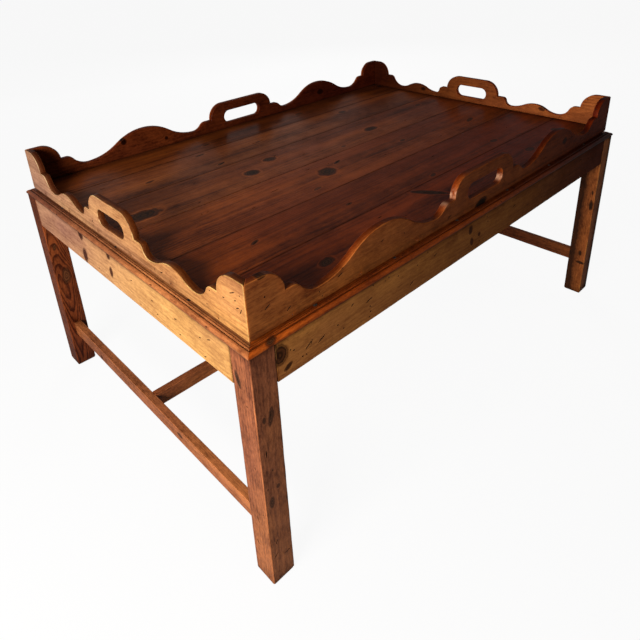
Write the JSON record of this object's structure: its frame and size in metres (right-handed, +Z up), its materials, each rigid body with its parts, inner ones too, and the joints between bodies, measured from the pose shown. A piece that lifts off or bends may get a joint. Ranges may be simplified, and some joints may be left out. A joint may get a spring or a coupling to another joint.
{
  "type": "tray-top coffee table",
  "caption": "Low pine table: a square-legged stand with aprons, a moulded rim and low stretchers, carrying a lift-off tray with a scalloped gallery and slotted handholds.",
  "frame": {"origin": "on the floor under the middle of the table", "axes": "+Z up; +X along the long side, towards the end that is at the right in the picture; +Y across, away from the long side that faces the camera"},
  "size_m": [1.163, 0.803, 0.558],
  "materials": {
    "pine_leg": "waxed, worn",
    "pine_apron": "waxed, worn",
    "pine_rim": "polished wax",
    "pine_stretcher": "waxed, worn",
    "pine_tray_floor": "polished wax",
    "pine_gallery": "waxed, worn",
    "pine_hidden": "bare, sawn",
    "steel": "dull"
  },
  "bodies": {
    "stand": {"apron_back": "pine_apron", "apron_front": "pine_apron", "apron_left": "pine_apron", "apron_right": "pine_apron", "cross_bearer": "pine_hidden", "leg_back_left": "pine_leg", "leg_back_right": "pine_leg", "leg_front_left": "pine_leg", "leg_front_right": "pine_leg", "rim_back": "pine_rim", "rim_front": "pine_rim", "rim_left": "pine_rim", "rim_right": "pine_rim", "rim_screws": "steel", "stretcher_centre": "pine_stretcher", "stretcher_left": "pine_stretcher", "stretcher_right": "pine_stretcher"},
    "tray": {"batten_left": "pine_hidden", "batten_middle": "pine_hidden", "batten_right": "pine_hidden", "batten_screws": "steel", "floor_board_1": "pine_tray_floor", "floor_board_2": "pine_tray_floor", "floor_board_3": "pine_tray_floor", "floor_board_4": "pine_tray_floor", "floor_board_5": "pine_tray_floor", "floor_board_6": "pine_tray_floor", "gallery_back": "pine_gallery", "gallery_brads": "steel", "gallery_front": "pine_gallery", "gallery_left": "pine_gallery", "gallery_right": "pine_gallery"}
  },
  "joints": [
    {"name": "tray_lift", "type": "slide", "parent": "stand", "child": "tray", "axis": [0, 0, 1], "range_m": [0, 0.15]}
  ]
}
